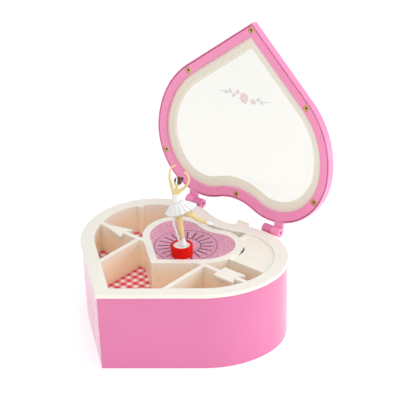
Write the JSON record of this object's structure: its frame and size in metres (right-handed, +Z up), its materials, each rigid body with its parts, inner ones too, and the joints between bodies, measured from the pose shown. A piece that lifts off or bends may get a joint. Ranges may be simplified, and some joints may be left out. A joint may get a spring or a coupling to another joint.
{
  "type": "ballerina jewellery box",
  "caption": "Heart-shaped jewellery box with a hinged windowed lid, divided tray, wind-up musical movement and a magnetic dancing figure on a small heart stage.",
  "frame": {"origin": "on the resting plane under the base cover, midway between the heart's point and its lobes", "axes": "+Z up, the heart's point towards -Y and the lid hinge at +Y, +X to the right"},
  "size_m": [0.167, 0.1837, 0.2111],
  "materials": {
    "pink_plastic": "glossy moulded pink",
    "ivory_plastic": "semi-gloss moulded ivory",
    "foil": "mauve glitter foil card with a printed dial",
    "gingham": "red and white checked lining paper",
    "brass": "plain",
    "steel": "plain",
    "clear_acrylic": "clear",
    "black_plastic": "matte",
    "magnet": "sintered ferrite",
    "red_plastic": "glossy",
    "white_plastic": "glossy",
    "skin_paint": "painted doll",
    "hair_paint": "painted doll"
  },
  "bodies": {
    "case": {"body_shell": "pink_plastic", "tray": "ivory_plastic", "base_cover": "ivory_plastic", "base_screws": "steel", "stage_plate": "foil", "lining_front": "gingham", "lining_left": "gingham", "lining_back": "gingham", "lining_front_right": "gingham", "lining_right": "gingham", "bedplate": "brass", "movement_screws": "steel", "spring_housing": "steel", "mainspring": "steel", "train_bracket": "brass", "comb_base": "brass", "music_comb": "steel", "comb_screws": "steel", "lever_post": "black_plastic", "hinge_pins": "steel"},
    "lid": {"lid_ring": "pink_plastic", "lid_frame": "pink_plastic", "lid_bezel": "ivory_plastic", "lid_window": "clear_acrylic", "lid_screws": "brass"},
    "arbor": {"main_arbor": "steel", "winding_key": "steel", "crown_gear": "brass", "magnet_arm": "steel"},
    "drum": {"music_drum": "brass", "drum_shaft": "steel", "drum_pinion": "brass", "governor_wheel": "brass"},
    "air_brake": {"air_brake": "black_plastic"},
    "stage_magnet": {"drive_magnet": "magnet"},
    "figure": {"figure_cup": "red_plastic", "figure_magnet": "magnet", "figure_disc": "white_plastic", "figure_strut": "white_plastic", "dancer": "skin_paint", "dancer_hair": "hair_paint", "dancer_dress": "white_plastic"},
    "stop_lever": {"stop_lever": "black_plastic"}
  },
  "joints": [
    {"name": "lid_hinge", "type": "hinge", "parent": "case", "child": "lid", "pos_m": [0, 0.0786, 0.0615], "axis": [1, 0, 0], "range_deg": [0, 99]},
    {"name": "arbor_turn", "type": "hinge", "parent": "case", "child": "arbor", "pos_m": [0, 0.0205, 0], "axis": [0, 0, 1], "continuous": true},
    {"name": "drum_turn", "type": "hinge", "parent": "case", "child": "drum", "pos_m": [0.02, 0.0205, 0.0286], "axis": [1, 0, 0], "continuous": true},
    {"name": "air_brake_spin", "type": "hinge", "parent": "case", "child": "air_brake", "pos_m": [0.04, 0.03037, 0.0286], "axis": [1, 0, 0], "continuous": true},
    {"name": "stage_magnet_spin", "type": "hinge", "parent": "arbor", "child": "stage_magnet", "pos_m": [0.00787, 0.0099, 0.055], "axis": [0, 0, 1], "continuous": true},
    {"name": "figure_lift", "type": "slide", "parent": "stage_magnet", "child": "figure", "axis": [0, -0.9, 0.4359], "range_m": [0, 0.16]},
    {"name": "stop_lever_turn", "type": "hinge", "parent": "case", "child": "stop_lever", "pos_m": [0.0239, 0.0347, 0.0355], "axis": [0, 0, 1], "range_deg": [-13, 13]}
  ],
  "couplings": [
    {"joint": "drum_turn", "follows": "arbor_turn", "ratio": 3},
    {"joint": "air_brake_spin", "follows": "arbor_turn", "ratio": -9},
    {"joint": "figure_lift", "follows": "lid_hinge", "m_per_rad": 0.092598}
  ]
}
